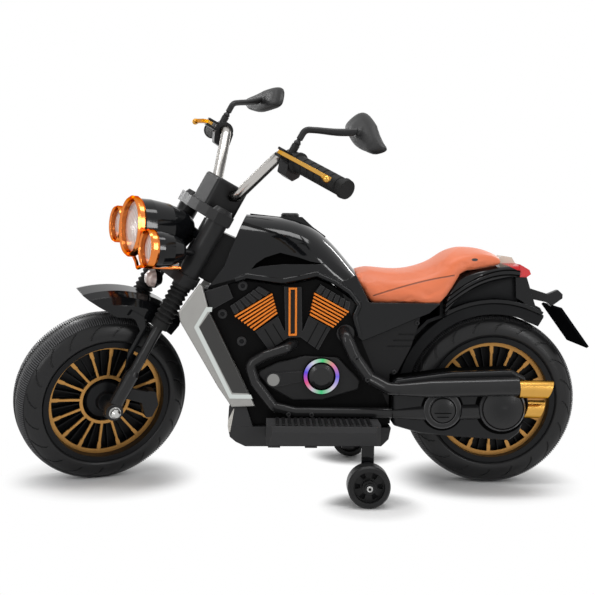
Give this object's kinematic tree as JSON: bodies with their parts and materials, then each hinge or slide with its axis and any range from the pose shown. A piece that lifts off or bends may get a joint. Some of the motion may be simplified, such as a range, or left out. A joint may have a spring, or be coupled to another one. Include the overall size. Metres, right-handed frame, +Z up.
{
  "type": "kids electric motorbike",
  "caption": "Cruiser-style ride-on motorbike for a child, with a raked steered fork, high handlebar, V-twin look body, padded seat and a stabiliser wheel on each side.",
  "frame": {"origin": "where the rear tyre meets the ground, in the bike's middle plane", "axes": "+X forward, +Y to the rider's left, +Z up"},
  "size_m": [1.0533, 0.5479, 0.7503],
  "materials": {
    "tyre": "satin moulded tread",
    "black_gloss": "gloss",
    "gold": "plated gold",
    "chrome": "polished",
    "steel": "brushed",
    "black_satin": "satin",
    "rubber": "matt",
    "orange": "plated orange",
    "clear": "clear",
    "red": "clear red",
    "seat": "grained",
    "silver": "satin silver",
    "light": "translucent",
    "bearing": "plain"
  },
  "bodies": {
    "chassis": {"tank_shell_left": "black_gloss", "tank_shell_right": "black_gloss", "tail_cowl": "black_gloss", "rear_fender": "black_gloss", "stabiliser_struts": "black_gloss", "exhaust_tips": "gold", "header_pipes": "chrome", "rear_axle": "steel", "main_core": "black_satin", "head_tube": "black_satin", "tank_console": "black_satin", "fuel_cap": "black_satin", "plate_bracket": "black_satin", "number_plate": "black_satin", "engine_cover_left": "black_satin", "engine_cover_right": "black_satin", "round_covers": "black_satin", "swingarm_left": "black_satin", "swingarm_right": "black_satin", "belly_pan": "black_satin", "footboards": "black_satin", "charge_socket": "black_satin", "gear_motor": "black_satin", "battery": "black_satin", "engine_trim": "orange", "tail_light": "red", "seat_cushion": "seat", "side_panel_left": "silver", "side_panel_right": "silver", "light_guides": "light", "steering_bushes": "bearing"},
    "fork": {"fork_sliders": "black_satin", "fork_gaiters": "rubber", "fork_tubes": "black_satin", "front_axle": "steel", "steering_stem": "steel", "handlebar_box": "black_satin", "handlebar": "chrome", "grip_left": "rubber", "lever_perches": "black_satin", "lamp_shells": "black_satin", "lamp_bezels": "orange", "lamp_lenses": "clear", "front_fender": "black_gloss", "brake_caliper": "black_satin"},
    "front_wheel": {"front_tyre": "tyre", "front_rim": "black_gloss", "front_trim": "gold"},
    "rear_wheel": {"rear_tyre": "tyre", "rear_rim": "black_gloss", "rear_trim": "gold", "drive_gear": "bearing"},
    "left_stabiliser_wheel": {"stabiliser_wheel_left": "black_satin"},
    "right_stabiliser_wheel": {"stabiliser_wheel_right": "black_satin"},
    "left_lever": {"brake_lever_left": "gold"},
    "right_lever": {"brake_lever_right": "gold"},
    "throttle": {"grip_right": "rubber"},
    "left_mirror": {"mirror_left": "black_gloss"},
    "right_mirror": {"mirror_right": "black_gloss"},
    "horn": {"horn_button": "orange"}
  },
  "joints": [
    {"name": "steering", "type": "hinge", "parent": "chassis", "child": "fork", "pos_m": [0.56235, 0, 0.40865], "axis": [-0.4787, 0, 0.878], "range_deg": [-60.7, 3.3]},
    {"name": "front_wheel_spin", "type": "hinge", "parent": "fork", "child": "front_wheel", "pos_m": [0.72968, 0.01479, 0.15819], "axis": [-0.4216, 0.8771, -0.2299], "continuous": true},
    {"name": "rear_wheel_spin", "type": "hinge", "parent": "chassis", "child": "rear_wheel", "pos_m": [0, 0, 0.16], "axis": [0, 1, 0], "continuous": true},
    {"name": "left_stabiliser_spin", "type": "hinge", "parent": "chassis", "child": "left_stabiliser_wheel", "pos_m": [0.245, 0.192, 0.037], "axis": [0, 1, 0], "continuous": true},
    {"name": "right_stabiliser_spin", "type": "hinge", "parent": "chassis", "child": "right_stabiliser_wheel", "pos_m": [0.245, -0.192, 0.037], "axis": [0, 1, 0], "continuous": true},
    {"name": "left_lever_pull", "type": "hinge", "parent": "fork", "child": "left_lever", "pos_m": [0.40241, 0.16031, 0.60366], "axis": [-0.491, 0.0261, 0.8708], "range_deg": [0, 6], "stiffness_Nm_per_rad": 1, "springref_deg": -5.73},
    {"name": "right_lever_pull", "type": "hinge", "parent": "fork", "child": "right_lever", "pos_m": [0.54005, -0.12603, 0.6787], "axis": [0.4659, 0.0261, -0.8844], "range_deg": [0, 6], "stiffness_Nm_per_rad": 1, "springref_deg": -5.73},
    {"name": "throttle_twist", "type": "hinge", "parent": "fork", "child": "throttle", "pos_m": [0.52692, -0.19763, 0.66967], "axis": [0.2169, -0.9724, 0.0856], "range_deg": [0, 60], "stiffness_Nm_per_rad": 0.3, "springref_deg": -11.46},
    {"name": "left_mirror_turn", "type": "hinge", "parent": "fork", "child": "left_mirror", "pos_m": [0.37686, 0.14427, 0.61959], "axis": [-0.491, 0.0261, 0.8708], "range_deg": [-25, 25]},
    {"name": "right_mirror_turn", "type": "hinge", "parent": "fork", "child": "right_mirror", "pos_m": [0.50863, -0.12986, 0.69143], "axis": [0.4659, 0.0261, -0.8844], "range_deg": [-25, 25]},
    {"name": "horn_press", "type": "slide", "parent": "fork", "child": "horn", "axis": [0.6353, 0.6946, 0.3374], "range_m": [0, 0.0024], "stiffness_N_per_m": 400, "springref_m": -0.001}
  ]
}
